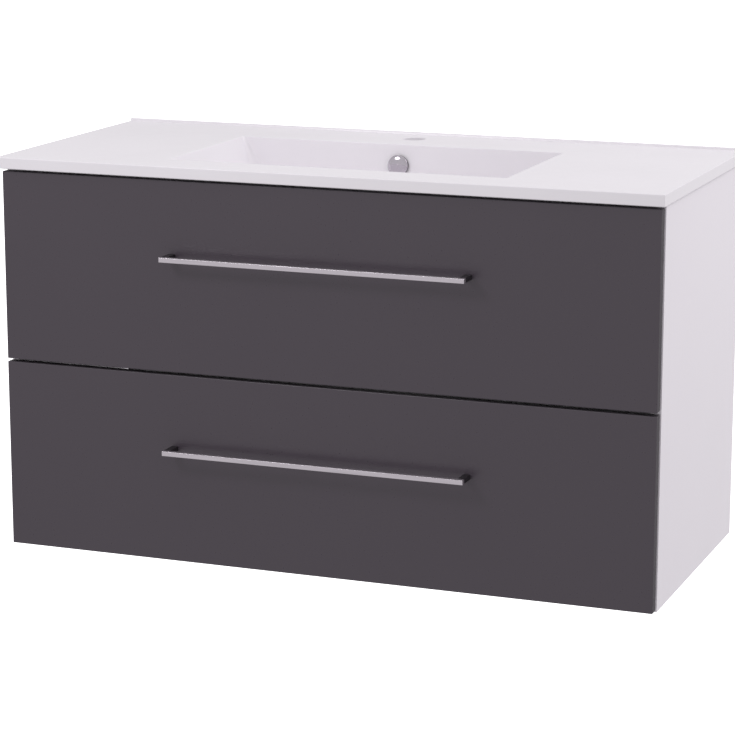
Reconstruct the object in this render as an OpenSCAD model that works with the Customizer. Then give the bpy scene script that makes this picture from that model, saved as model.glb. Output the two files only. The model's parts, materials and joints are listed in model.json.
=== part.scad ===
// Wall-hung bathroom vanity: a cast washbasin top on a two-drawer cabinet.
// X runs along the width, Y towards the wall and Z up. The origin is on the wall plane,
// in the middle of the cabinet's width, at its underside. Millimetres.

/* [Cabinet] */
// Outer width across the two side panels
cabinet_w = 1000; // [900:10:1200]
// Height of the side panels, up to the underside of the washbasin
cabinet_h = 574; // [568:1:590]
// Depth of the side panels, from the wall to their front edges
cabinet_d = 432; // [428:1:450]
// Thickness of the white boards
panel_t = 16; // [15:1:18]
// How far the back rails stand in front of the wall
rail_setback = 18; // [18:1:22]

/* [Drawer fronts] */
// Thickness of the drawer fronts
front_t = 16; // [15:1:19]
// Air between the two fronts
front_gap = 4.5; // [3:0.5:5]
// How far each side panel shows beyond the fronts
side_reveal = 1.5; // [1:0.5:3]
// How far the side panels reach below the lower front
bottom_reveal = 2.5; // [1:0.5:4]
// Air between the upper front and the washbasin
top_gap = 4.5; // [3:0.5:6]
// Air between the fronts and the side panels' edges, bridged by the bumpers
bumper_gap = 2.5; // [2:0.5:3]

/* [Washbasin] */
// Overall width of the cast top
basin_w = 1010; // [910:10:1210]
// Overall depth of the cast top, from the wall
basin_d = 460; // [456:1:480]
// Thickness of the slab at its front edge
slab_t = 17; // [16:1:20]
// Height of the lip along the wall
upstand_h = 4; // [3:1:15]
// Thickness of the lip along the wall
upstand_t = 7; // [6:1:10]
// Length of the bowl's mouth along the width
bowl_w = 518; // [480:2:560]
// Front-to-back size of the bowl's mouth
bowl_l = 274; // [260:1:280]
// Depth of the bowl below the slab's top
bowl_depth = 108; // [100:1:112]
// How far the bowl's ends lean out from upright, in degrees
end_lean = 24; // [10:1:30]
// Width of the flat land in front of the bowl
front_land = 70.5; // [65:0.5:75]
// Wall thickness of the bowl
bowl_wall = 10; // [8:1:11]

/* [Handles] */
// Length of the handle bar
bar_l = 462; // [300:1:520]
// Height of the bar's visible face
bar_h = 7; // [6:0.5:10]
// Depth of the bar's section
bar_t = 8; // [6:0.5:10]
// From the drawer front's face to the bar's face
handle_reach = 34.5; // [30:0.5:40]
// From the top of a drawer front down to the middle of its bar
handle_drop = 110; // [60:1:150]

/* [Drawers] */
// Length of the runners and of the drawer sides
runner_l = 350; // [300:10:350]
// How far a drawer pulls out
travel = 330; // [250:10:330]
// Height of the steel drawer sides
side_h = 86; // [80:1:90]

/* [Hidden] */
$fn = 48;

// Clearance that lets one solid pass through another, and the overshoot of a cut
slack = 0.1;
cut = 1;

white = [0.93, 0.92, 0.93];
anthracite = [0.30, 0.29, 0.31];
cast_white = [0.96, 0.95, 0.96];
chrome = [0.80, 0.80, 0.82];
brushed = [0.70, 0.69, 0.70];
zinc = [0.66, 0.68, 0.70];
light_grey = [0.80, 0.80, 0.80];
beech = [0.82, 0.68, 0.50];
frosted = [0.85, 0.87, 0.88];

// Cabinet
inner_x = cabinet_w / 2 - panel_t;
rail_back = -rail_setback;
rail_mid = rail_back - panel_t / 2;
rail_front = rail_back - panel_t;
hanging_rail_h = 120;
tap_notch_w = 140;
tap_notch_h = 60;
lower_rail_h = 80;
front_rail_h = 50;

// Fronts and what follows from them. The front face is where the drawers' faces are.
front_w = cabinet_w - 2 * side_reveal;
front_back = -cabinet_d - bumper_gap;
front_face = front_back - front_t;
front_h = (cabinet_h - bottom_reveal - top_gap - front_gap) / 2;
lower_front_z = bottom_reveal;
upper_front_z = bottom_reveal + front_h + front_gap;

// Washbasin
slab_top = cabinet_h + slab_t;
mouth_front = -basin_d + front_land;
mouth_back = mouth_front + bowl_l;
floor_z = slab_top - bowl_depth;
tap_hole_r = 17.5;
tap_hole_y = -51;
drain_r = 22.5;
drain_y = -235;
drain_seat_r = 30;
drain_seat_h = 3;
boss_r = 33;
boss_bottom = cabinet_h - 134;
front_lean = 12;
back_lean = 6.5;
// Radius where the walls turn into the floor, and the steps of that turn
floor_turn = 45;
bowl_depths = concat([0], [for (a = [0 : 15 : 90]) bowl_depth - floor_turn * (1 - sin(a))]);
mouth_corner_r = 3;
floor_corner_r = 45;
overflow_drop = 32.5;
overflow_y = mouth_back - overflow_drop * tan(back_lean);
overflow_z = slab_top - overflow_drop;
overflow_hole_r = 11;
sleeve_r = overflow_hole_r - 0.2;
sleeve_wall = 1.6;
sleeve_l = 12;
ring_r = 13.5;
cap_r = 16;
cap_wall = 1.2;
cap_lift = 1.4;
cap_side = 5;
cap_dome = 3.2;
cap_notch_w = 14;
cap_notch_h = 2.2;
duct_w = 48;
duct_back = -84;
duct_bottom = cabinet_h - 119;
duct_wall = 4;
duct_outlet_r = 4;

// Handles
post_w = 10;
post_l = handle_reach - bar_t;
post_x = bar_l / 2 - post_w / 2;
handle_thread_r = 2;
handle_thread_l = 12;

// Runners: t is measured from the side panel's inner face towards the middle
runner_t = 12.7;
sheet_t = 1.2;
runner_front = -cabinet_d + 2;
outer_half = 22.5;
middle_half = 18.1;
inner_half = 13.7;
middle_t = 4;
drawer_member_t = 6.5;
ball_r = 1.5;
balls_in_row = 8;
cage_l = 160;
cage_w = 4.4;
cage_t = 1;
cage_end = 8;
// Where the ball cages start behind the runners' front ends when the drawers are shut
cage_setback = 90;
// [height off the runner's middle, t] of the outer and the inner rows of balls
outer_cage = [(outer_half - sheet_t + middle_half) / 2, 8];
inner_cage = [(middle_half - sheet_t + inner_half) / 2, 8.6];

// Drawers
side_outer = inner_x - runner_t;
side_t = 12.5;
side_inner = side_outer - side_t;
board_t = 16;
drawer_back_y = front_back + runner_l;
floor_clear = 10;
lower_floor = panel_t + floor_clear;
upper_floor = upper_front_z + 18;
upper_back_h = 134;
lower_back_h = 199;
rod_r = 5;
rod_x = side_inner - rod_r;
rod_rise = 118;
runner_rise = 32;
cutout_w = 220;
cutout_l = 200;
surround_t = 12;
surround_h = 86;
bracket_t = 2;
bracket_thread_r = 2;
bracket_thread_l = 11;

// Knock-down joints: [y, z, turn about X] of each cam and of each dowel on one side of the cabinet
cam_places = [
    [-cabinet_d + 32, panel_t / 2, 0], [-cabinet_d / 2, panel_t / 2, 0], [-50, panel_t / 2, 0],
    [-cabinet_d + panel_t / 2, cabinet_h - 18, 90],
    [rail_mid, cabinet_h - 100, -90], [rail_mid, cabinet_h - 50, -90],
    [rail_mid, panel_t + 56, -90]
];
dowel_places = [
    [-cabinet_d + 120, panel_t / 2, 0], [-130, panel_t / 2, 0],
    [-cabinet_d + panel_t / 2, cabinet_h - 38, 0],
    [rail_mid, cabinet_h - 75, 0],
    [rail_mid, panel_t + 20, 0]
];
cam_x = 34;
cam_r = 7.4;
cam_h = 12.5;
bolt_r = 3.2;
bolt_play = 0.4;
bolt_thread_r = 2.5;
bolt_thread_l = 11;
dowel_r = 4;
dowel_l = 30;
dowel_in_side = 10;

// Hangers, measured on the right-hand side and mirrored to the left
hanger_w = 20;
hanger_d = 40;
hanger_h = 66;
hanger_z = cabinet_h - 76;
hook_w = 12;
hook_x = inner_x - hanger_w / 2;
hook_z = cabinet_h - 20;
hook_h = 6;
hook_tail = rail_front - 26;
nose_t = 3.5;
nose_drop = 8;
plate_w = 56;
plate_h = 52;
plate_t = 2;
plate_x = inner_x - 6 - plate_w / 2;
plate_z = cabinet_h - 71;
lip_gap = 6;
lip_h = 12;
wall_hole_r = 3.25;
wall_hole_pitch = 30;
wall_hole_z = plate_z + 16;

// ---------- shared shapes ----------

// A board between two corners
module board(from, to) {
    translate(from) cube(to - from);
}

// Both sides of the cabinet: the child is drawn for the right and mirrored to the left
module both_sides() {
    children();
    mirror([1, 0, 0]) children();
}

// Local frame of a knock-down joint on the right: X points inwards from the side panel's inner face
module at_joint(place) {
    translate([inner_x, place[0], place[1]]) mirror([1, 0, 0]) rotate([place[2], 0, 0]) children();
}

module cam_pockets() {
    both_sides() for (p = cam_places) at_joint(p) {
        translate([cam_x, 0, -panel_t / 2 - cut]) cylinder(r = cam_r + slack, h = cam_h + slack + cut);
        translate([-cut, 0, 0]) rotate([0, 90, 0]) cylinder(r = bolt_r + bolt_play, h = cam_x + cut);
    }
}

module dowel_holes() {
    both_sides() for (p = dowel_places) at_joint(p) translate([-dowel_in_side - 0.5, 0, 0])
        rotate([0, 90, 0]) cylinder(r = dowel_r + slack, h = dowel_l + 1);
}

module thread_holes() {
    both_sides() for (p = cam_places) at_joint(p) translate([-bolt_thread_l - 0.5, 0, 0])
        rotate([0, 90, 0]) cylinder(r = bolt_thread_r + slack, h = bolt_thread_l + cut);
}

// ---------- cabinet ----------

// [middle height, front end] of each cabinet runner, and where its screws sit along it
runner_heights = [upper_floor + runner_rise, lower_floor + runner_rise];
runner_screw_places = [24, 152, 312];
screw_head_r = 4;
screw_shank_r = 1.75;
screw_shank_l = 11;

module side_panel() {
    color(white) difference() {
        board([inner_x, -cabinet_d, 0], [cabinet_w / 2, 0, cabinet_h]);
        thread_holes();
        dowel_holes();
        for (z = runner_heights, y = runner_screw_places) translate([inner_x - cut, runner_front + y, z])
            rotate([0, 90, 0]) cylinder(r = screw_shank_r + slack, h = screw_shank_l + cut);
    }
}

module bottom_panel() {
    color(white) difference() {
        board([-inner_x, -cabinet_d, 0], [inner_x, 0, panel_t]);
        cam_pockets();
        dowel_holes();
    }
}

module front_rail() {
    color(white) difference() {
        board([-inner_x, -cabinet_d, cabinet_h - front_rail_h], [inner_x, -cabinet_d + panel_t, cabinet_h]);
        cam_pockets();
        dowel_holes();
    }
}

// The notch leaves room for the tap's nut, and each slot lets a hanger's hook through
module hanging_rail() {
    color(white) difference() {
        board([-inner_x, rail_front, cabinet_h - hanging_rail_h], [inner_x, rail_back, cabinet_h]);
        board([-tap_notch_w / 2, rail_front - cut, cabinet_h - tap_notch_h],
            [tap_notch_w / 2, rail_back + cut, cabinet_h + cut]);
        both_sides() board([hook_x - hook_w / 2 - 2, rail_front - cut, hook_z - nose_drop - 2],
            [hook_x + hook_w / 2 + 2, rail_back + cut, hook_z + hook_h + 3]);
        cam_pockets();
        dowel_holes();
    }
}

module lower_back_rail() {
    color(white) difference() {
        board([-inner_x, rail_front, panel_t], [inner_x, rail_back, panel_t + lower_rail_h]);
        cam_pockets();
        dowel_holes();
    }
}

module cam_discs() {
    color(zinc) both_sides() for (p = cam_places)
        at_joint(p) translate([cam_x, 0, -panel_t / 2]) difference() {
        cylinder(r = cam_r, h = cam_h);
        translate([-cam_r - cut, 0, panel_t / 2]) rotate([0, 90, 0])
            cylinder(r = bolt_r + bolt_play, h = cam_r + 4);
        translate([-4, -0.8, -cut]) cube([8, 1.6, 2.5 + cut]);
        translate([-0.8, -4, -cut]) cube([1.6, 8, 2.5 + cut]);
    }
}

module cam_bolts() {
    color(zinc) both_sides() for (p = cam_places) at_joint(p) rotate([0, 90, 0]) {
        cylinder(r = bolt_r, h = cam_x - 6);
        translate([0, 0, cam_x - 6]) cylinder(r = bolt_r - 1, h = 4);
        translate([0, 0, cam_x - 2]) cylinder(r = bolt_r, h = 3);
        translate([0, 0, -bolt_thread_l]) cylinder(r = bolt_thread_r, h = bolt_thread_l);
    }
}

module dowels() {
    color(beech) both_sides() for (p = dowel_places) at_joint(p) translate([-dowel_in_side, 0, 0])
        rotate([0, 90, 0]) {
            cylinder(r = dowel_r, h = dowel_l - 1);
            translate([0, 0, dowel_l - 1]) cylinder(r1 = dowel_r, r2 = dowel_r - 1, h = 1, $fn = 48);
        }
}

// Soft pads on the side panels' front edges, two behind each end of each drawer front
module bumpers() {
    bumper_t = bumper_gap - 0.2;
    color(frosted) both_sides() for (z = [lower_front_z, upper_front_z], e = [14, front_h - 14])
        translate([cabinet_w / 2 - panel_t / 2, -cabinet_d, z + e]) rotate([90, 0, 0])
            cylinder(r1 = 4.5, r2 = 3.8, h = bumper_t);
}

// ---------- washbasin ----------

// How far a wall that leans by lean stands in from the mouth at depth d: straight, then an arc to the floor
function arc_start(lean) = bowl_depth - floor_turn * (1 - sin(lean));
function inset(d, lean) = d <= arc_start(lean) ? d * tan(lean) : floor_turn * cos(lean)
    + arc_start(lean) * tan(lean) - sqrt(floor_turn ^ 2 - (d - bowl_depth + floor_turn) ^ 2);
function corner_r(d) = mouth_corner_r + (floor_corner_r - mouth_corner_r) * d / bowl_depth;

// One level of the bowl at depth d, grown outwards by grow and lowered by drop
module bowl_level(d, grow, drop) {
    r = corner_r(d) + grow;
    x = bowl_w / 2 - inset(d, end_lean) + grow - r;
    y0 = mouth_front + inset(d, front_lean) - grow + r;
    y1 = mouth_back - inset(d, back_lean) + grow - r;
    translate([0, 0, slab_top - d - drop])
        for (sx = [-x, x], y = [y0, y1]) translate([sx, y, 0]) cylinder(r = r, h = 1, $fn = 32);
}

module bowl_cavity() {
    hull() for (d = bowl_depths) bowl_level(d, 0, 0);
}

module bowl_outside() {
    hull() for (d = bowl_depths) bowl_level(d, bowl_wall, d == 0 ? slab_t - 2 : bowl_wall);
}

// Local frame of the overflow: Z points from the back wall into the bowl
module at_overflow() {
    translate([0, overflow_y, overflow_z]) rotate([90 - back_lean, 0, 0]) children();
}

module washbasin() {
    color(cast_white) difference() {
        union() {
            board([-basin_w / 2, -basin_d, cabinet_h], [basin_w / 2, 0, slab_top]);
            board([-basin_w / 2, -upstand_t, slab_top - cut], [basin_w / 2, 0, slab_top + upstand_h]);
            bowl_outside();
            translate([0, drain_y, boss_bottom]) cylinder(r = boss_r, h = floor_z - boss_bottom - 1);
        }
        bowl_cavity();
        translate([0, tap_hole_y, cabinet_h - cut]) cylinder(r = tap_hole_r, h = slab_t + 2 * cut, $fn = 64);
        translate([0, drain_y, boss_bottom - cut])
            cylinder(r = drain_r, h = floor_z - boss_bottom + 2 * cut, $fn = 64);
        translate([0, drain_y, floor_z - drain_seat_h]) cylinder(r = drain_seat_r, h = drain_seat_h + cut);
        at_overflow() translate([0, 0, -16]) cylinder(r = overflow_hole_r, h = 20);
        translate([0, drain_y + drain_r - 2, duct_bottom + 9])
            rotate([-90, 0, 0]) cylinder(r = duct_outlet_r, h = boss_r);
    }
}

// Cast cover glued behind and under the bowl: it leads the overflow's water to the drain boss
module overflow_channel() {
    end_y = drain_y + boss_r - 2;
    color(cast_white) difference() {
        board([-duct_w / 2, end_y, duct_bottom], [duct_w / 2, duct_back, cabinet_h]);
        board([-duct_w / 2 + duct_wall, end_y - cut, duct_bottom + duct_wall],
            [duct_w / 2 - duct_wall, duct_back - duct_wall, cabinet_h - duct_wall]);
        bowl_outside();
        translate([0, drain_y, boss_bottom - cut]) cylinder(r = boss_r, h = cabinet_h);
    }
}

// Sleeve pushed into the overflow hole, with a thin flange on the wall
module overflow_ring() {
    color(chrome) at_overflow() rotate_extrude($fn = 64) polygon([
        [sleeve_r, 0], [ring_r, 0], [ring_r, 0.6], [ring_r - 0.6, 1.2],
        [sleeve_r - sleeve_wall, 1.2], [sleeve_r - sleeve_wall, -sleeve_l], [sleeve_r, -sleeve_l]
    ]);
}

// Domed cap on a stem, held in the sleeve by three ribs; water enters under its lower edge
module overflow_cap() {
    cap_in = cap_r - cap_wall;
    color(chrome) at_overflow() {
        difference() {
            rotate_extrude($fn = 64) polygon(concat(
                [[0, cap_side + cap_dome - cap_wall]],
                [for (a = [80 : -10 : 10]) [cap_in * cos(a), cap_side + (cap_dome - cap_wall) * sin(a)]],
                [[cap_in, cap_side], [cap_in, cap_lift], [cap_r, cap_lift], [cap_r, cap_side]],
                [for (a = [10 : 10 : 80]) [cap_r * cos(a), cap_side + cap_dome * sin(a)]],
                [[0, cap_side + cap_dome]]
            ));
            board([-cap_notch_w / 2, -cap_r - cut, 0], [cap_notch_w / 2, -cap_r / 2, cap_lift + cap_notch_h]);
        }
        translate([0, 0, -9]) cylinder(r = 2, h = 9 + cap_side + cap_dome - cap_wall / 2);
        for (a = [90, 210, 330]) rotate([0, 0, a]) translate([1, -0.6, -9])
            cube([sleeve_r - 1.7 - 1, 1.2, 6]);
    }
}

// ---------- wall hanging ----------

module hanger_housing() {
    color(light_grey) difference() {
        board([inner_x - hanger_w, rail_front - hanger_d, hanger_z],
            [inner_x, rail_front, hanger_z + hanger_h]);
        board([hook_x - hook_w / 2 - 1, hook_tail - 1, hook_z - nose_drop - 1],
            [hook_x + hook_w / 2 + 1, rail_front + cut, hook_z + hook_h + 1]);
        for (z = [hanger_z + 16, hook_z]) translate([hook_x, rail_front - hanger_d - cut, z + 3])
            rotate([-90, 0, 0]) cylinder(r = 3.2, h = 12 + cut);
        for (z = [hanger_z + 16, hook_z]) translate([hook_x, rail_front - hanger_d - cut, z + 3])
            rotate([-90, 0, 0]) cylinder(r = 5.2, h = 3 + cut);
    }
}

module hanger_hook() {
    color(zinc) translate([hook_x - hook_w / 2, 0, 0]) {
        board([0, hook_tail, hook_z], [hook_w, -nose_t, hook_z + hook_h]);
        board([0, -nose_t - nose_t, hook_z - nose_drop], [hook_w, -nose_t, hook_z + cut]);
        board([0, hook_tail, hook_z - nose_drop], [hook_w, hook_tail + 6, hook_z + cut]);
    }
}

module hanger_screws() {
    color(zinc) both_sides() for (z = [hanger_z + 16, hook_z])
        translate([hook_x, rail_front - hanger_d, z + 3]) rotate([-90, 0, 0]) difference() {
            union() {
                translate([0, 0, 0.5]) cylinder(r = 5, h = 2.4);
                translate([0, 0, 2]) cylinder(r = 3, h = 9);
            }
            translate([-3.5, -0.6, 0]) cube([7, 1.2, 1.8]);
            translate([-0.6, -3.5, 0]) cube([1.2, 7, 1.8]);
        }
}

// Steel plate screwed to the wall, with a turned-up lip that the hook drops behind and rests on
module wall_plate() {
    x0 = plate_x - plate_w / 2;
    x1 = plate_x + plate_w / 2;
    shelf_z = hook_z - lip_h;
    color(zinc) difference() {
        union() {
            board([x0, -plate_t, plate_z], [x1, 0, plate_z + plate_h]);
            board([x0, -2 * plate_t - lip_gap, shelf_z], [x1, -plate_t + 0.5, shelf_z + plate_t]);
            board([x0, -2 * plate_t - lip_gap, shelf_z], [x1, -plate_t - lip_gap, hook_z]);
        }
        for (s = [-1, 1]) translate([plate_x + s * wall_hole_pitch / 2, cut, wall_hole_z])
            rotate([90, 0, 0]) cylinder(r = wall_hole_r, h = plate_t + 2 * cut);
    }
}

// ---------- runners ----------

// A rolled C section along Y: web at t0, flanges reaching to t1, both measured from the side panel
module runner_member(half, t0, t1, web_first, l, z) {
    web = web_first ? [t0, t0 + sheet_t] : [t1 - sheet_t, t1];
    y = [runner_front, runner_front + l];
    difference() {
        union() {
            board([inner_x - t1, y[0], z - half], [inner_x - t0, y[1], z - half + sheet_t]);
            board([inner_x - t1, y[0], z + half - sheet_t], [inner_x - t0, y[1], z + half]);
            board([inner_x - web[1], y[0], z - half], [inner_x - web[0], y[1], z + half]);
        }
        for (y = runner_screw_places) translate([inner_x - web[1] - cut, runner_front + y, z])
            rotate([0, 90, 0]) cylinder(r = screw_shank_r + slack, h = sheet_t + 2 * cut);
    }
}

module cabinet_runner(z) {
    color(zinc) runner_member(outer_half, 0, 11, true, runner_l, z);
}

module middle_runners(z) {
    color(zinc) both_sides() runner_member(middle_half, middle_t, 11, true, runner_l - 10, z);
}

module drawer_runners(z) {
    color(zinc) both_sides() runner_member(inner_half, drawer_member_t, runner_t, false, runner_l - 6, z);
}

module runner_screws() {
    color(zinc) both_sides() for (z = runner_heights, y = runner_screw_places)
        translate([inner_x - sheet_t, runner_front + y, z]) rotate([0, 90, 0]) {
            cylinder(r = screw_shank_r, h = screw_shank_l + sheet_t - 1);
            translate([0, 0, -1.8]) cylinder(r1 = screw_head_r - 1.2, r2 = screw_head_r, h = 1.8);
        }
}

// A strip of steel balls above and below a runner member
module ball_cages(cage, z) {
    pitch = (cage_l - 2 * cage_end) / (balls_in_row - 1);
    color(light_grey) both_sides() for (s = [-1, 1])
        translate([inner_x - cage[1], runner_front + cage_setback, z + s * cage[0]]) {
            translate([-cage_w / 2, 0, -cage_t / 2]) cube([cage_w, cage_l, cage_t]);
            for (i = [0 : balls_in_row - 1]) translate([0, cage_end + i * pitch, 0])
                sphere(r = ball_r, $fn = 24);
        }
}

// ---------- drawers ----------

module drawer_front(z, floor) {
    color(anthracite) difference() {
        board([-front_w / 2, front_face, z], [front_w / 2, front_back, z + front_h]);
        for (s = [-1, 1]) translate([s * post_x, front_face - cut, z + front_h - handle_drop])
            rotate([-90, 0, 0]) cylinder(r = handle_thread_r + 0.3, h = front_t + 2 * cut);
        at_bracket_screws(floor) cylinder(r = bracket_thread_r + slack, h = bracket_thread_l + cut);
    }
}

module handle_bar(z) {
    color(brushed) translate([-bar_l / 2, front_face - handle_reach, z + front_h - handle_drop - bar_h / 2])
        cube([bar_l, bar_t, bar_h]);
}

module handle_posts(z) {
    color(brushed) for (s = [-1, 1])
        translate([s * post_x, front_face, z + front_h - handle_drop]) difference() {
            translate([-post_w / 2, -post_l, -bar_h / 2]) cube([post_w, post_l, bar_h]);
            rotate([90, 0, 0]) translate([0, 0, -cut])
                cylinder(r = handle_thread_r + slack, h = handle_thread_l + cut);
        }
}

module handle_screws(z) {
    color(zinc) for (s = [-1, 1]) translate([s * post_x, front_back, z + front_h - handle_drop])
        rotate([90, 0, 0]) difference() {
            union() {
                translate([0, 0, -2.4]) cylinder(r1 = 3.2, r2 = 4, h = 2.4);
                cylinder(r = handle_thread_r, h = front_t + handle_thread_l - 2);
            }
            translate([-2.2, -0.5, -3]) cube([4.4, 1, 1.8]);
            translate([-0.5, -2.2, -3]) cube([1, 4.4, 1.8]);
        }
}

// Double-walled steel side: an inverted channel with a ledge that carries the drawer bottom
module drawer_side(floor) {
    ledge = 14;
    color(light_grey) {
        difference() {
            board([side_inner, front_back, floor - sheet_t], [side_outer, drawer_back_y, floor + side_h]);
            board([side_inner + sheet_t, front_back - cut, floor - sheet_t - cut],
                [side_outer - sheet_t, drawer_back_y + cut, floor + side_h - sheet_t]);
        }
        board([side_inner - ledge, front_back, floor - sheet_t], [side_inner + 0.5, drawer_back_y, floor]);
    }
}

module drawer_bottom_lower() {
    color(light_grey)
        board([-side_inner, front_back, lower_floor], [side_inner, drawer_back_y, lower_floor + board_t]);
}

// The rear middle is cut out so that the drawer passes the trap
module drawer_bottom_upper() {
    color(light_grey) difference() {
        board([-side_inner, front_back, upper_floor], [side_inner, drawer_back_y, upper_floor + board_t]);
        board([-cutout_w / 2, drawer_back_y - cutout_l, upper_floor - cut],
            [cutout_w / 2, drawer_back_y + cut, upper_floor + board_t + cut]);
    }
}

// Stands between the steel sides, and reaches out over their tops
module drawer_back_lower() {
    z = lower_floor + board_t;
    y = drawer_back_y - board_t;
    top = z + lower_back_h - board_t;
    color(light_grey) {
        board([-side_inner, y, z], [side_inner, drawer_back_y, top]);
        board([-side_outer, y, lower_floor + side_h], [side_outer, drawer_back_y, top]);
    }
}

// Two short backs, one on each side of the cut-out
module drawer_back_upper() {
    z = upper_floor + board_t;
    color(light_grey) both_sides() board([cutout_w / 2 + surround_t, drawer_back_y - board_t, z],
        [side_inner, drawer_back_y, z + upper_back_h - board_t]);
}

// Three boards that fence the cut-out
module trap_surround() {
    z = upper_floor + board_t;
    x = cutout_w / 2;
    y = drawer_back_y - cutout_l;
    color(light_grey) {
        both_sides() board([x, y, z], [x + surround_t, drawer_back_y, z + surround_h]);
        board([-x - surround_t, y - surround_t, z], [x + surround_t, y, z + surround_h]);
    }
}

module gallery_rods(floor) {
    color(light_grey) both_sides() translate([rod_x, front_back, floor + rod_rise]) rotate([-90, 0, 0])
        cylinder(r = rod_r, h = runner_l - board_t);
}

// Local frame of each bracket screw: Z points into the drawer front's back
module at_bracket_screws(floor) {
    both_sides() for (z = [floor + board_t + 14, floor + side_h - 20])
        translate([side_inner - 13, front_back, z]) rotate([90, 0, 0]) children();
}

// Angles that tie the steel sides and the rods to the drawer front
module front_brackets(floor) {
    z0 = floor + board_t;
    z1 = floor + side_h - 4;
    z2 = floor + rod_rise;
    color(zinc) difference() {
        both_sides() {
            board([side_inner - 22, front_back, z0], [side_inner, front_back + bracket_t, z2 + 9]);
            board([side_inner - bracket_t, front_back, z0], [side_inner, front_back + 34, z1]);
        }
        both_sides() translate([rod_x, front_back - cut, z2]) rotate([-90, 0, 0])
            cylinder(r = rod_r + slack, h = bracket_t + 2 * cut);
        at_bracket_screws(floor) translate([0, 0, -bracket_t - cut])
            cylinder(r = bracket_thread_r + slack, h = bracket_t + 2 * cut);
    }
}

module bracket_screws(floor) {
    color(zinc) at_bracket_screws(floor) difference() {
        union() {
            translate([0, 0, -bracket_t])
                cylinder(r = bracket_thread_r, h = bracket_t + bracket_thread_l - 1);
            translate([0, 0, -bracket_t - 2]) cylinder(r1 = 3, r2 = 4, h = 2);
        }
        translate([-2.2, -0.5, -bracket_t - 3]) cube([4.4, 1, 2.2]);
        translate([-0.5, -2.2, -bracket_t - 3]) cube([1, 4.4, 2.2]);
    }
}

upper_runner_z = runner_heights[0];
lower_runner_z = runner_heights[1];

mirror([1, 0, 0]) side_panel();  // side_panel_left
side_panel();  // side_panel_right
bottom_panel();
front_rail();
hanging_rail();
lower_back_rail();
cam_discs();
cam_bolts();
dowels();
bumpers();
washbasin();
overflow_channel();
overflow_ring();
overflow_cap();
mirror([1, 0, 0]) hanger_housing();  // hanger_housing_left
hanger_housing();  // hanger_housing_right
mirror([1, 0, 0]) hanger_hook();  // hanger_hook_left
hanger_hook();  // hanger_hook_right
hanger_screws();
mirror([1, 0, 0]) wall_plate();  // wall_plate_left
wall_plate();  // wall_plate_right
mirror([1, 0, 0]) cabinet_runner(upper_runner_z);  // cabinet_runner_upper_left
cabinet_runner(upper_runner_z);  // cabinet_runner_upper_right
mirror([1, 0, 0]) cabinet_runner(lower_runner_z);  // cabinet_runner_lower_left
cabinet_runner(lower_runner_z);  // cabinet_runner_lower_right
runner_screws();
middle_runners(upper_runner_z);  // middle_runners_upper
middle_runners(lower_runner_z);  // middle_runners_lower
ball_cages(outer_cage, upper_runner_z);  // outer_ball_cages_upper
ball_cages(outer_cage, lower_runner_z);  // outer_ball_cages_lower
ball_cages(inner_cage, upper_runner_z);  // inner_ball_cages_upper
ball_cages(inner_cage, lower_runner_z);  // inner_ball_cages_lower
drawer_front(upper_front_z, upper_floor);  // drawer_front_upper
drawer_front(lower_front_z, lower_floor);  // drawer_front_lower
handle_bar(upper_front_z);  // handle_bar_upper
handle_bar(lower_front_z);  // handle_bar_lower
handle_posts(upper_front_z);  // handle_posts_upper
handle_posts(lower_front_z);  // handle_posts_lower
handle_screws(upper_front_z);  // handle_screws_upper
handle_screws(lower_front_z);  // handle_screws_lower
front_brackets(upper_floor);  // front_brackets_upper
front_brackets(lower_floor);  // front_brackets_lower
bracket_screws(upper_floor);  // bracket_screws_upper
bracket_screws(lower_floor);  // bracket_screws_lower
mirror([1, 0, 0]) drawer_side(upper_floor);  // drawer_side_upper_left
drawer_side(upper_floor);  // drawer_side_upper_right
mirror([1, 0, 0]) drawer_side(lower_floor);  // drawer_side_lower_left
drawer_side(lower_floor);  // drawer_side_lower_right
drawer_runners(upper_runner_z);  // drawer_runners_upper
drawer_runners(lower_runner_z);  // drawer_runners_lower
gallery_rods(upper_floor);  // gallery_rods_upper
gallery_rods(lower_floor);  // gallery_rods_lower
drawer_bottom_upper();
drawer_bottom_lower();
drawer_back_upper();
drawer_back_lower();
trap_surround();
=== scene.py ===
"""Looks of the wall-hung vanity: washbasin, fronts, handles, boards and fittings, and the studio.

Metres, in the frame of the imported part: X along the width, Y towards the wall, Z up from the underside.
"""

import json
import math

import bmesh
import bpy
from mathutils import Matrix, Vector


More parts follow.
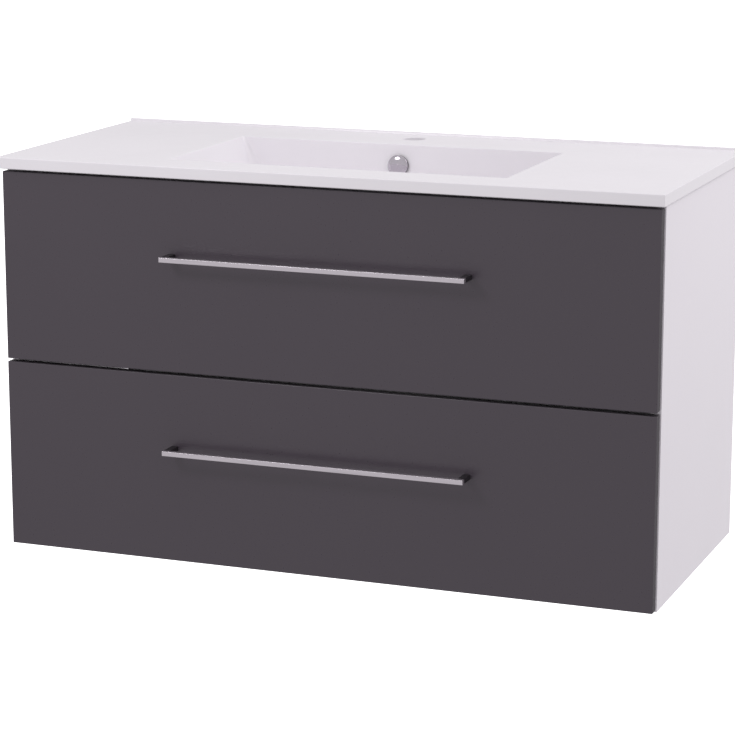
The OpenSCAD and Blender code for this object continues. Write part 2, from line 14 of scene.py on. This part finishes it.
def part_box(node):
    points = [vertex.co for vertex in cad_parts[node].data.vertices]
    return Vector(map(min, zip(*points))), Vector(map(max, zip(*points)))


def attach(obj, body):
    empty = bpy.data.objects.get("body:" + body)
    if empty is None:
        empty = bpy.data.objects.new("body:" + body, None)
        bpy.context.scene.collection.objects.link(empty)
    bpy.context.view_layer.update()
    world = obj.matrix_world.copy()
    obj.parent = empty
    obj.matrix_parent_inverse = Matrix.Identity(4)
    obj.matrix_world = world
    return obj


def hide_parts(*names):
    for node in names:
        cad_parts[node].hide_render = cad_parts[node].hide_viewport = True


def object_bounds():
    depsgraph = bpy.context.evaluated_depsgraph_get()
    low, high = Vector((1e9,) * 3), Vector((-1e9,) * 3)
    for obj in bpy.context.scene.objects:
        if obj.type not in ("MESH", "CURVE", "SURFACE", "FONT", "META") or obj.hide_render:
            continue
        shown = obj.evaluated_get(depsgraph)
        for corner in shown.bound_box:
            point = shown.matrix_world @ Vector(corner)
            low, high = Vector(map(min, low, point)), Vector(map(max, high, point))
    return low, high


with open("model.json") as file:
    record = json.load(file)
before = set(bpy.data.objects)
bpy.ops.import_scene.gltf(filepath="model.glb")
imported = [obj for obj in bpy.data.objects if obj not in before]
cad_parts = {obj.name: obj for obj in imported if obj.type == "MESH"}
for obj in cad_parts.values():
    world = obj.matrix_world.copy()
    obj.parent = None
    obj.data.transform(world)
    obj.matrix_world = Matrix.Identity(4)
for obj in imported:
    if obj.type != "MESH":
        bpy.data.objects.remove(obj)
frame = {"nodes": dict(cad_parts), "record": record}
cad_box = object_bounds()

MM = 0.001

# Washbasin
UPSTAND_H = 4 * MM
UPSTAND_T = 7 * MM
SLAB_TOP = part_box("washbasin")[1].z - UPSTAND_H
SLAB_EDGE_R = 1.6 * MM
UPSTAND_EDGE_R = 1.2 * MM
UPSTAND_COVE_R = 2.2 * MM
SLAB_END_R = 0.9 * MM
BOWL_W = 518 * MM
BOWL_L = 274 * MM
BOWL_DEPTH = 108 * MM
BOWL_WALL = 10 * MM
FRONT_LAND = 70.5 * MM
END_LEAN = math.radians(24)
FRONT_LEAN = math.radians(12)
BACK_LEAN = math.radians(6.5)
FLOOR_TURN = 45 * MM
MOUTH_CORNER_R = 3 * MM
FLOOR_CORNER_R = 45 * MM
RIM_R = 1.6 * MM
RIM_STEPS = 6
SHELL_TOP_DROP = 12 * MM
CORNER_STEPS = 16
LEVELS = 26
TAP_HOLE_R = 17.5 * MM
TAP_HOLE_Y = -51 * MM
TAP_HOLE_EASE = 0.8 * MM
DRAIN_R = 22.5 * MM
DRAIN_Y = -235 * MM
DRAIN_SEAT_R = 30 * MM
DRAIN_SEAT_H = 3 * MM
BOSS_R = 33 * MM
OVERFLOW_DROP = 32.5 * MM
OVERFLOW_HOLE_R = 11 * MM
ROUND_STEPS = 96


# ---------- node helpers ----------

def linear(red, green, blue):
    """A colour given in 0-255 display values, as the shader's linear RGBA."""
    def channel(v):
        v /= 255
        return v / 12.92 if v <= 0.04045 else ((v + 0.055) / 1.055) ** 2.4
    return (channel(red), channel(green), channel(blue), 1)


class Finish:
    """A procedural material under construction: a Principled shader, and short ways to feed it."""

    def __init__(self, name, roughness=0.5, metallic=0.0, **constants):
        self.material = bpy.data.materials.new(name)
        self.material.use_nodes = True
        self.tree = self.material.node_tree
        self.shader = self.tree.nodes["Principled BSDF"]
        self.shader.inputs["Roughness"].default_value = roughness
        self.shader.inputs["Metallic"].default_value = metallic
        for socket, value in constants.items():
            self.shader.inputs[socket.replace("_", " ")].default_value = value
        self.place = self.add("ShaderNodeTexCoord").outputs["Object"]

    def add(self, kind, settings=None, **inputs):
        """A node with its settings, and its inputs set to values or linked to sockets."""
        made = self.tree.nodes.new(kind)
        for name, value in (settings or {}).items():
            setattr(made, name, value)
        for name, value in inputs.items():
            self.feed(made.inputs[name], value)
        return made

    def feed(self, socket, value):
        if isinstance(value, bpy.types.NodeSocket):
            self.tree.links.new(value, socket)
        else:
            socket.default_value = value

    def stretched(self, x, y, z):
        """Object coordinates scaled by axis, so that a pattern can run along one of them."""
        return self.add("ShaderNodeMapping", Vector=self.place, Scale=(x, y, z)).outputs["Vector"]

    def noise(self, scale, detail=2.0, place=None):
        """Noise between about 0.25 and 0.75. The scale is in features per metre."""
        made = self.add("ShaderNodeTexNoise", Vector=place or self.place, Scale=scale, Detail=detail)
        return made.outputs["Fac"]

    def ranged(self, value, low, high, from_low=0.3, from_high=0.7):
        """A value stretched from one range to another; noise rarely leaves 0.3 to 0.7."""
        made = self.add("ShaderNodeMapRange", Value=value)
        ends = {"From Min": from_low, "From Max": from_high, "To Min": low, "To Max": high}
        for name, number in ends.items():
            made.inputs[name].default_value = number
        return made.outputs["Result"]

    def between(self, amount, first, second):
        """Colour that goes from first to second with amount."""
        made = self.add("ShaderNodeMix", {"data_type": "RGBA"})
        self.feed(made.inputs[0], amount)
        self.feed(made.inputs[6], first)
        self.feed(made.inputs[7], second)
        return made.outputs[2]

    def colour(self, value):
        self.feed(self.shader.inputs["Base Color"], value)

    def roughness(self, value):
        self.feed(self.shader.inputs["Roughness"], value)

    def bump(self, height, depth, after=None):
        """Relief of a depth in metres, on top of the relief given as after."""
        made = self.add("ShaderNodeBump", Height=height, Distance=depth, Strength=1.0)
        if after is not None:
            self.feed(made.inputs["Normal"], after)
        self.feed(self.shader.inputs["Normal"], made.outputs["Normal"])
        return made.outputs["Normal"]


# ---------- materials ----------

def faced_board(name, colour, speck, roughness, pore_depth, sheen=0.5):
    """Melamine-faced board: a plain colour with a faint cloud, fine pores and a slightly uneven sheen."""
    made = Finish(name, roughness=roughness, Specular_IOR_Level=sheen)
    cloud = made.ranged(made.noise(7, 3), 0, 0.5)
    grain = made.ranged(made.noise(1500, 2), 0, 1)
    made.colour(made.between(cloud, made.between(grain, colour, speck), colour))
    made.roughness(made.ranged(made.noise(260, 3), roughness - 0.05, roughness + 0.06))
    made.bump(made.noise(2200, 2), pore_depth)
    return made.material


def cast_mineral():
    """Gel-coated cast stone: satin white with a soft waviness and a thin clear coat."""
    made = Finish("cast_mineral", roughness=0.36, Coat_Weight=0.25, Coat_Roughness=0.18)
    cloud = made.ranged(made.noise(5, 4), 0, 1)
    made.colour(made.between(cloud, linear(239, 236, 240), linear(236, 233, 237)))
    made.roughness(made.ranged(made.noise(60, 3), 0.32, 0.42))
    wave = made.bump(made.noise(18, 2), 0.00025)
    made.bump(made.noise(900, 2), 0.00001, after=wave)
    return made.material


def chrome():
    made = Finish("chrome", roughness=0.07, metallic=1)
    made.colour(made.between(made.noise(300, 2), linear(206, 201, 208), linear(192, 187, 194)))
    made.roughness(made.ranged(made.noise(900, 3), 0.04, 0.12))
    return made.material


def satin_shade_band():
    """Matt metal for the side of the overflow's cap, darker in colour as painted shade: it stands for the
    dark reflection along that side.
    """
    made = Finish("satin_shade_band", roughness=0.3, metallic=1)
    made.colour(made.between(made.noise(500, 2), linear(120, 116, 122), linear(104, 100, 106)))
    made.roughness(made.ranged(made.noise(900, 2), 0.25, 0.4))
    return made.material


def brushed_metal(name="brushed_metal", bright=linear(230, 224, 230), dull=linear(203, 197, 203)):
    """Nickel brushed along the bar."""
    made = Finish(name, roughness=0.34, metallic=1, Anisotropic=0.5)
    streaks = made.noise(1, 3, place=made.stretched(9, 2600, 2600))
    broad = made.noise(1, 2, place=made.stretched(3, 500, 500))
    made.colour(made.between(made.ranged(streaks, 0, 1), bright, dull))
    made.roughness(made.ranged(broad, 0.28, 0.42))
    made.bump(streaks, 0.00002)
    return made.material


def zinc_steel():
    """Bright zinc plating: cool, with soft spangles and a little dull bloom."""
    made = Finish("zinc_steel", roughness=0.36, metallic=1)
    spangle = made.add("ShaderNodeTexVoronoi", Vector=made.place, Scale=420.0).outputs["Color"]
    patch = made.ranged(made.noise(90, 4), 0, 1)
    plated = made.between(patch, linear(205, 208, 212), linear(182, 186, 190))
    tint = made.between(0.08, plated, spangle)
    made.colour(tint)
    made.roughness(made.ranged(made.noise(140, 4), 0.28, 0.46))
    made.bump(made.noise(1200, 2), 0.00001)
    return made.material


def powder_coat():
    """Light grey powder coat with its orange peel."""
    made = Finish("grey_steel", roughness=0.42)
    mottle = made.ranged(made.noise(700, 2), 0, 1)
    made.colour(made.between(mottle, linear(206, 206, 206), linear(199, 199, 200)))
    made.roughness(made.ranged(made.noise(300, 2), 0.36, 0.5))
    made.bump(made.noise(1100, 1), 0.00005)
    return made.material


def beech():
    """Beech along X, with short flecks."""
    made = Finish("beech", roughness=0.6)
    grain = made.noise(1, 4, place=made.stretched(40, 1200, 1200))
    flecks = made.ranged(made.noise(1, 2, place=made.stretched(300, 3000, 3000)), 0, 1, 0.5, 0.75)
    wood = made.between(made.ranged(grain, 0, 1), linear(222, 190, 148), linear(200, 163, 118))
    made.colour(made.between(flecks, wood, linear(168, 124, 84)))
    made.bump(grain, 0.00005)
    return made.material


def soft_pad():
    """Frosted, slightly clear bumper plastic."""
    made = Finish("soft_pad", roughness=0.4, Transmission_Weight=0.55, IOR=1.46)
    haze = made.ranged(made.noise(500, 2), 0, 1)
    made.colour(made.between(haze, linear(232, 236, 238), linear(220, 225, 228)))
    made.bump(made.noise(1500, 2), 0.00003)
    return made.material


def moulded_plastic():
    """Light grey moulded plastic with a spark-eroded texture."""
    made = Finish("grey_plastic", roughness=0.5)
    mottle = made.ranged(made.noise(40, 3), 0, 1)
    made.colour(made.between(mottle, linear(208, 208, 208), linear(200, 200, 201)))
    made.roughness(made.ranged(made.noise(800, 2), 0.42, 0.6))
    made.bump(made.noise(2500, 2), 0.00004)
    return made.material


FINISHES = {
    "white_board": faced_board("white_board", linear(238, 234, 239), linear(234, 230, 235), 0.42, 0.00002),
    "anthracite_board": faced_board("anthracite_board", linear(64, 56, 65), linear(60, 52, 61), 0.32, 0.00003,
                                    sheen=0.75),
    "grey_board": faced_board("grey_board", linear(208, 208, 208), linear(200, 200, 200), 0.48, 0.00003),
    "cast_mineral": cast_mineral(),
    "chrome": chrome(),
    "brushed_metal": brushed_metal(),
    "zinc_steel": zinc_steel(),
    "grey_steel": powder_coat(),
    "beech": beech(),
    "soft_pad": soft_pad(),
    "grey_plastic": moulded_plastic(),
}
SATIN_SHADE_BAND = satin_shade_band()
EDGE_BAND = faced_board("edge_band", linear(62, 57, 63), linear(58, 53, 59), 0.55, 0.00001, 0.4)
# The posts get a darker copy of the bar's brushed metal: painted shade for the shade and dark reflections on
# them.
SHADED_POST_METAL = brushed_metal("shaded_post_metal", linear(96, 92, 97), linear(78, 74, 79))
SLOT_OF = {row["node"]: row["material_slot"] for row in frame["record"]["subparts"]}
BODY_OF = {node: body for body, nodes in frame["record"]["behaviour"]["bodies"].items() for node in nodes}


# ---------- mesh helpers ----------

def add_object(name, mesh):
    made = bpy.data.objects.new(name, mesh)
    bpy.context.scene.collection.objects.link(made)
    return made


def mesh_from(bm, name):
    bmesh.ops.recalc_face_normals(bm, faces=bm.faces)
    mesh = bpy.data.meshes.new(name)
    bm.to_mesh(mesh)
    bm.free()
    return mesh


def shade(mesh, angle):
    """Smooth shading, with edges sharper than angle left crisp."""
    mesh.shade_smooth()
    mesh.set_sharp_from_angle(angle=math.radians(angle))


def place_piece(piece, node, also=()):
    """Gives a new piece its finish, its body and the CAD nodes it stands for."""
    slot = SLOT_OF[node]
    piece.data.materials.clear()
    piece.data.materials.append(FINISHES[slot])
    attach(piece, BODY_OF[node])
    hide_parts(node, *also)


def even_normals(piece):
    """Flat faces keep a flat shade right up to their rounded edges."""
    piece.modifiers.new("normals", "WEIGHTED_NORMAL").keep_sharp = True


def loft(bm, rings):
    """A closed solid through rings of points, capped at both ends."""
    loops = [[bm.verts.new(point) for point in ring] for ring in rings]
    for low, high in zip(loops, loops[1:]):
        for i in range(len(low)):
            bm.faces.new((low[i - 1], low[i], high[i], high[i - 1]))
    bm.faces.new(reversed(loops[0]))
    bm.faces.new(loops[-1])


def ring_points(radius, z):
    """Points of a circle about the Z axis."""
    turns = (math.tau * i / ROUND_STEPS for i in range(ROUND_STEPS))
    return [Vector((radius * math.cos(a), radius * math.sin(a), z)) for a in turns]


def lathe(name, outline, place):
    """A solid turned about the local Z axis from (radius, height) points; place moves it to the frame."""
    bm = bmesh.new()
    loft(bm, [ring_points(radius, z) for radius, z in outline])
    bm.transform(place)
    return add_object(name, mesh_from(bm, name))


def arc(centre, radius, start, end, steps):
    """Points of an arc in a plane, angles in degrees."""
    turns = (math.radians(start + (end - start) * i / steps) for i in range(steps + 1))
    return [(centre[0] + radius * math.cos(a), centre[1] + radius * math.sin(a)) for a in turns]


def combined(piece, others, operation):
    """Applies a boolean of piece with each of others, and removes them."""
    for other in others:
        step = piece.modifiers.new("cut", "BOOLEAN")
        step.operation = operation
        step.solver = "EXACT"
        step.object = other
    evaluated = piece.evaluated_get(bpy.context.evaluated_depsgraph_get())
    mesh = bpy.data.meshes.new_from_object(evaluated)
    piece.modifiers.clear()
    piece.data = mesh
    for other in others:
        bpy.data.objects.remove(other)


# ---------- washbasin ----------

def arc_start(lean):
    """Depth at which a wall that leans by lean turns towards the floor."""
    return BOWL_DEPTH - FLOOR_TURN * (1 - math.sin(lean))


def inset(depth, lean):
    """How far such a wall stands in from the mouth at a depth."""
    if depth <= arc_start(lean):
        return depth * math.tan(lean)
    drop = depth - BOWL_DEPTH + FLOOR_TURN
    return (FLOOR_TURN * math.cos(lean) + arc_start(lean) * math.tan(lean)
            - math.sqrt(max(0, FLOOR_TURN ** 2 - drop ** 2)))


def bowl_ring(depth, grow, z):
    """The bowl's rounded rectangle at a depth, grown outwards."""
    mouth_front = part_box("washbasin")[0].y + FRONT_LAND
    radius = MOUTH_CORNER_R + (FLOOR_CORNER_R - MOUTH_CORNER_R) * depth / BOWL_DEPTH + grow
    x = BOWL_W / 2 - inset(depth, END_LEAN) + grow - radius
    front = mouth_front + inset(depth, FRONT_LEAN) - grow + radius
    back = mouth_front + BOWL_L - inset(depth, BACK_LEAN) + grow - radius
    points = []
    for corner, (cx, cy) in enumerate([(x, back), (-x, back), (-x, front), (x, front)]):
        start = 90 * corner
        points += [Vector((px, py, z)) for px, py in arc((cx, cy), radius, start, start + 90, CORNER_STEPS)]
    return points


def bowl_depths():
    """Depths of the bowl's levels, closer together where the walls turn."""
    return [BOWL_DEPTH * (1 - (1 - i / LEVELS) ** 2) for i in range(LEVELS + 1)]


def bowl_cavity():
    """The bowl's space, flared at the top by the rim's rounding."""
    bm = bmesh.new()
    rings = [bowl_ring(0, RIM_R, SLAB_TOP + 20 * MM)]
    for px, pz in arc((RIM_R, -RIM_R), RIM_R, 90, 180, RIM_STEPS):
        depth = -pz
        rings.append(bowl_ring(depth, px, SLAB_TOP - depth))
    rings += [bowl_ring(d, 0, SLAB_TOP - d) for d in bowl_depths() if d > 1.2 * RIM_R]
    loft(bm, rings)
    return add_object("bowl_cavity", mesh_from(bm, "bowl_cavity"))


def bowl_shell():
    """The bowl's outer wall below the slab."""
    bm = bmesh.new()
    loft(bm, [bowl_ring(d, BOWL_WALL, SLAB_TOP - SHELL_TOP_DROP if d == 0 else SLAB_TOP - d - BOWL_WALL)
              for d in bowl_depths()])
    return add_object("bowl_shell", mesh_from(bm, "bowl_shell"))


def upright(x, y):
    """Local frame with Z up, at a place in plan."""
    return Matrix.Translation((x, y, 0))


def slab():
    """The slab with its upstand: one outline across the depth, carried along the width."""
    low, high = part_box("washbasin")
    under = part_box("side_panel_left")[1].z
    front, back, top = low.y, high.y, high.z
    r, u, c = SLAB_EDGE_R, UPSTAND_EDGE_R, UPSTAND_COVE_R
    foot = back - UPSTAND_T
    outline = [(back, under)]
    outline += arc((front + r, under + r), r, 270, 180, 5)
    outline += arc((front + r, SLAB_TOP - r), r, 180, 90, 5)
    outline += arc((foot - c, SLAB_TOP + c), c, 270, 315, 4)
    outline += [(foot, SLAB_TOP + c * 1.2)]
    outline += arc((foot + u, top - u), u, 180, 90, 5)
    outline += arc((back - u, top - u), u, 90, 0, 5)
    bm = bmesh.new()
    loft(bm, [[Vector((x, y, z)) for y, z in outline] for x in (low.x, high.x)])
    bmesh.ops.recalc_face_normals(bm, faces=bm.faces)
    ends = [e for e in bm.edges if e.verts[0].co.x == e.verts[1].co.x]
    bmesh.ops.bevel(bm, geom=ends, offset=SLAB_END_R, segments=3, profile=0.5, affect="EDGES")
    return add_object("basin_slab", mesh_from(bm, "basin_slab"))


def overflow_place():
    """Local frame of the overflow: Z points from the bowl's back wall into the bowl."""
    mouth_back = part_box("washbasin")[0].y + FRONT_LAND + BOWL_L
    y = mouth_back - OVERFLOW_DROP * math.tan(BACK_LEAN)
    turn = Matrix.Rotation(math.pi / 2 - BACK_LEAN, 4, "X")
    return Matrix.Translation((0, y, SLAB_TOP - OVERFLOW_DROP)) @ turn


def washbasin():
    """Cast top in one piece: slab, bowl, drain boss, and the tap, drain and overflow holes."""
    body = slab()
    floor = SLAB_TOP - BOWL_DEPTH
    boss_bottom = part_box("washbasin")[0].z
    boss = lathe("boss", [(BOSS_R - MM, boss_bottom), (BOSS_R, boss_bottom + MM), (BOSS_R, floor - 2 * MM)],
                 upright(0, DRAIN_Y))
    combined(body, [bowl_shell(), boss], "UNION")
    eased = TAP_HOLE_R + TAP_HOLE_EASE
    tap = lathe("tap_cutter", [(TAP_HOLE_R, SLAB_TOP - 40 * MM), (TAP_HOLE_R, SLAB_TOP - TAP_HOLE_EASE),
                               (eased, SLAB_TOP), (eased, SLAB_TOP + 10 * MM)],
                upright(0, TAP_HOLE_Y))
    drain = lathe("drain_cutter", [(DRAIN_R, boss_bottom - 5 * MM), (DRAIN_R, floor - DRAIN_SEAT_H),
                                   (DRAIN_SEAT_R, floor - DRAIN_SEAT_H), (DRAIN_SEAT_R, floor - MM),
                                   (DRAIN_SEAT_R + MM, floor), (DRAIN_SEAT_R + MM, floor + MM)],
                  upright(0, DRAIN_Y))
    overflow = lathe("overflow_cutter", [(OVERFLOW_HOLE_R, -20 * MM), (OVERFLOW_HOLE_R, 6 * MM)],
                     overflow_place())
    combined(body, [bowl_cavity(), tap, drain, overflow], "DIFFERENCE")
    shade(body.data, 32)
    place_piece(body, "washbasin")
    even_normals(body)


# ---------- overflow fitting ----------

def overflow_ring():
    """Sleeve through the bowl's back wall, with a thin flange behind the cap."""
    tube, hole = 10.8 * MM, 9.2 * MM
    outline = [(hole, -12 * MM), (tube, -12 * MM), (tube, 0.1 * MM), (13.3 * MM, 0.1 * MM)]
    outline += [(13.5 * MM, 0.3 * MM), (13.4 * MM, 0.7 * MM), (12.9 * MM, 1.1 * MM)]
    outline += [(hole + 0.3 * MM, 1.1 * MM), (hole, 0.8 * MM), (hole, -12 * MM)]
    piece = lathe("overflow_sleeve", outline, overflow_place())
    shade(piece.data, 40)
    place_piece(piece, "overflow_ring")


def overflow_cap():
    """Hollow domed cap whose side wall stands clear of the bowl."""
    outer, wall, lift, side, dome = 16 * MM, 1.2 * MM, 1.4 * MM, 5 * MM, 3.2 * MM
    inner = outer - wall
    turns = [math.radians(90 * i / 12) for i in range(13)]
    outline = [(0.1 * MM, side + dome - wall)]
    outline += [(inner * math.cos(a), side + (dome - wall) * math.sin(a)) for a in reversed(turns[:-1])]
    outline += [(inner, lift + 0.3 * MM), (inner + 0.3 * MM, lift)]
    outline += [(outer - 0.4 * MM, lift), (outer, lift + 0.4 * MM)]
    outline += [(outer * math.cos(a) ** 0.8, side + dome * math.sin(a)) for a in turns[:-1]]
    outline += [(0.1 * MM, side + dome)]
    piece = lathe("overflow_cover", outline, overflow_place())
    shade(piece.data, 40)
    place_piece(piece, "overflow_cap")
    # The cap's side wall below the dome gets the matt metal, darkened as painted shade.
    piece.data.materials.append(SATIN_SHADE_BAND)
    back = overflow_place().inverted()
    for face in piece.data.polygons:
        if (back @ face.center).z < side and (back @ face.center).xy.length > inner:
            face.material_index = 1


# ---------- pieces that follow their CAD nodes ----------

WELD = 0.01 * MM
SHORTEST_ROUNDED = 14 * MM
FITTING_BEVEL = 0.15 * MM
CHANNEL_BEVEL = 0.5 * MM
EDGE_RADII = {
    "white_board": 0.6 * MM,
    "anthracite_board": 1.0 * MM,
    "grey_board": 0.5 * MM,
    "brushed_metal": 0.5 * MM,
}


def rounded_copy(node, name, radius):
    """A copy of a CAD node with its long sharp edges rounded; its bores keep their true edges."""
    bm = bmesh.new()
    bm.from_mesh(frame["nodes"][node].data)
    bmesh.ops.remove_doubles(bm, verts=bm.verts, dist=WELD)
    bmesh.ops.dissolve_limit(bm, angle_limit=math.radians(0.5), verts=bm.verts, edges=bm.edges)
    long_edges = [e for e in bm.edges if e.is_manifold and e.calc_length() > SHORTEST_ROUNDED
                  and e.calc_face_angle() > math.radians(40)]
    bmesh.ops.bevel(bm, geom=long_edges, offset=radius, segments=3, profile=0.5, affect="EDGES",
                    clamp_overlap=True)
    piece = add_object(name, mesh_from(bm, name))
    shade(piece.data, 35)
    place_piece(piece, node)
    even_normals(piece)
    return piece


def soften(node, width):
    """Keeps a CAD node as it is, with its finish and a fine bevel on its edges."""
    kept = frame["nodes"][node]
    kept.data.materials.clear()
    kept.data.materials.append(FINISHES[SLOT_OF[node]])
    kept.modifiers.new("weld", "WELD").merge_threshold = WELD
    bevel = kept.modifiers.new("edges", "BEVEL")
    bevel.width = width
    bevel.segments = 2
    bevel.limit_method = "ANGLE"
    bevel.angle_limit = math.radians(35)
    even_normals(kept)


def band_edges(front):
    """Matt edge band on a drawer front's narrow faces."""
    front.data.materials.append(EDGE_BAND)
    for face in front.data.polygons:
        if abs(face.normal.y) < 0.3:
            face.material_index = 1


def furniture():
    """Boards, fronts, bars and posts become copies with rounded edges; the fittings get a fine bevel."""
    for node, slot in SLOT_OF.items():
        if slot in EDGE_RADII:
            piece = rounded_copy(node, node + ".piece", EDGE_RADII[slot])
            # Posts take the darker copy of the brushed metal: painted shade.
            if "posts" in node:
                piece.data.materials[0] = SHADED_POST_METAL
            if "front_" in node and slot == "anthracite_board":
                band_edges(piece)
        elif slot not in ("cast_mineral", "chrome"):
            soften(node, FITTING_BEVEL)
    soften("overflow_channel", CHANNEL_BEVEL)


# ---------- studio ----------

CAMERA_TARGET = Vector((-0.0084, -0.23, 0.267))
CAMERA_DISTANCE = 4.033
CAMERA_AZIMUTH = math.radians(20.98)
CAMERA_ELEVATION = math.radians(12.5)
CAMERA_LENS = 131.3
FLOOR_Z = -6
COVE_RADIUS = 25
LIGHT_TINT = (1, 0.98, 1.005)
SKY_BELOW = 0.40
SKY_LEVEL = 0.73
SKY_ABOVE = 0.62
SKYLIGHT_STRENGTH = 0.34
SKYLIGHT_SPREAD = 80
KEY_POWER = 18
FILL_POWER = 6.6


def camera():
    """The photograph's angle, without a lens shift."""
    side, rise = CAMERA_AZIMUTH, CAMERA_ELEVATION
    back = Vector((math.sin(side) * math.cos(rise), -math.cos(side) * math.cos(rise), math.sin(rise)))
    data = bpy.data.cameras.new("camera")
    data.lens = CAMERA_LENS
    data.clip_start = 0.1
    data.clip_end = 200
    made = add_object("camera", data)
    made.location = CAMERA_TARGET + back * CAMERA_DISTANCE
    made.rotation_euler = (-back).to_track_quat("-Z", "Y").to_euler()
    bpy.context.scene.camera = made


def softbox(name, target, direction, distance, size, power):
    """A round area light that points at target."""
    data = bpy.data.lights.new(name, "AREA")
    data.shape = "DISK"
    data.size = size
    data.energy = power
    data.color = LIGHT_TINT
    made = add_object(name, data)
    way = Vector(direction).normalized()
    made.location = Vector(target) + way * distance
    made.rotation_euler = way.to_track_quat("Z", "Y").to_euler()


def skylight(direction, strength, softness):
    """A wide, soft light from very far away; softness is its spread in degrees."""
    data = bpy.data.lights.new("skylight", "SUN")
    data.energy = strength
    data.angle = math.radians(softness)
    made = add_object("skylight", data)
    made.rotation_euler = Vector(direction).to_track_quat("Z", "Y").to_euler()


def floor():
    """A pale floor that curves up all round into a cove. It glows, and it takes no part in the light."""
    bm = bmesh.new()
    bmesh.ops.create_icosphere(bm, subdivisions=5, radius=COVE_RADIUS)
    bmesh.ops.reverse_faces(bm, faces=bm.faces)
    mesh = bpy.data.meshes.new("floor")
    bm.to_mesh(mesh)
    bm.free()
    mesh.shade_smooth()
    made = add_object("floor", mesh)
    made.location.z = FLOOR_Z + COVE_RADIUS
    paint = Finish("floor", roughness=0.9, Specular_IOR_Level=0.1, Emission_Strength=1.0)
    paint.shader.inputs["Emission Color"].default_value = (1, 1, 1, 1)
    paint.colour(paint.between(paint.noise(3, 3), (0.97, 0.97, 0.97, 1), (0.955, 0.955, 0.96, 1)))
    made.data.materials.append(paint.material)
    made.visible_diffuse = False
    made.visible_glossy = False
    made.visible_transmission = False
    made.visible_shadow = False


def sky():
    """White surroundings, dimmer below, so that upright faces shade off downwards."""
    world = bpy.data.worlds.new("studio")
    world.use_nodes = True
    tree = world.node_tree
    way = tree.nodes.new("ShaderNodeTexCoord")
    parts = tree.nodes.new("ShaderNodeSeparateXYZ")
    ramp = tree.nodes.new("ShaderNodeValToRGB")
    lift = tree.nodes.new("ShaderNodeMath")
    lift.operation = "MULTIPLY_ADD"
    lift.inputs[1].default_value = 0.5
    lift.inputs[2].default_value = 0.5
    tree.links.new(way.outputs["Generated"], parts.inputs["Vector"])
    tree.links.new(parts.outputs["Z"], lift.inputs[0])
    tree.links.new(lift.outputs["Value"], ramp.inputs["Fac"])
    tree.links.new(ramp.outputs["Color"], tree.nodes["Background"].inputs["Color"])
    stops = ramp.color_ramp.elements
    stops.new(0.5)
    for stop, place, level in zip(stops, (0, 0.5, 1), (SKY_BELOW, SKY_LEVEL, SKY_ABOVE)):
        stop.position = place
        stop.color = [level * channel for channel in LIGHT_TINT] + [1]
    bpy.context.scene.world = world


def studio():
    """Surroundings, lights and camera; the key comes from the right, the fill from the front left."""
    bpy.context.scene.view_settings.view_transform = "Standard"
    low, high = cad_box
    middle = (low + high) / 2
    sky()
    skylight((0.25, 0.15, 1), SKYLIGHT_STRENGTH, SKYLIGHT_SPREAD)
    softbox("key", (high.x, middle.y, high.z), (0.75, 0.3, 0.65), 2.2, 1.2, KEY_POWER)
    softbox("fill", (low.x * 0.5, low.y, high.z), (-0.3, -0.85, 0.6), 1.6, 0.5, FILL_POWER)
    floor()
    camera()


washbasin()
overflow_ring()
overflow_cap()
furniture()
studio()
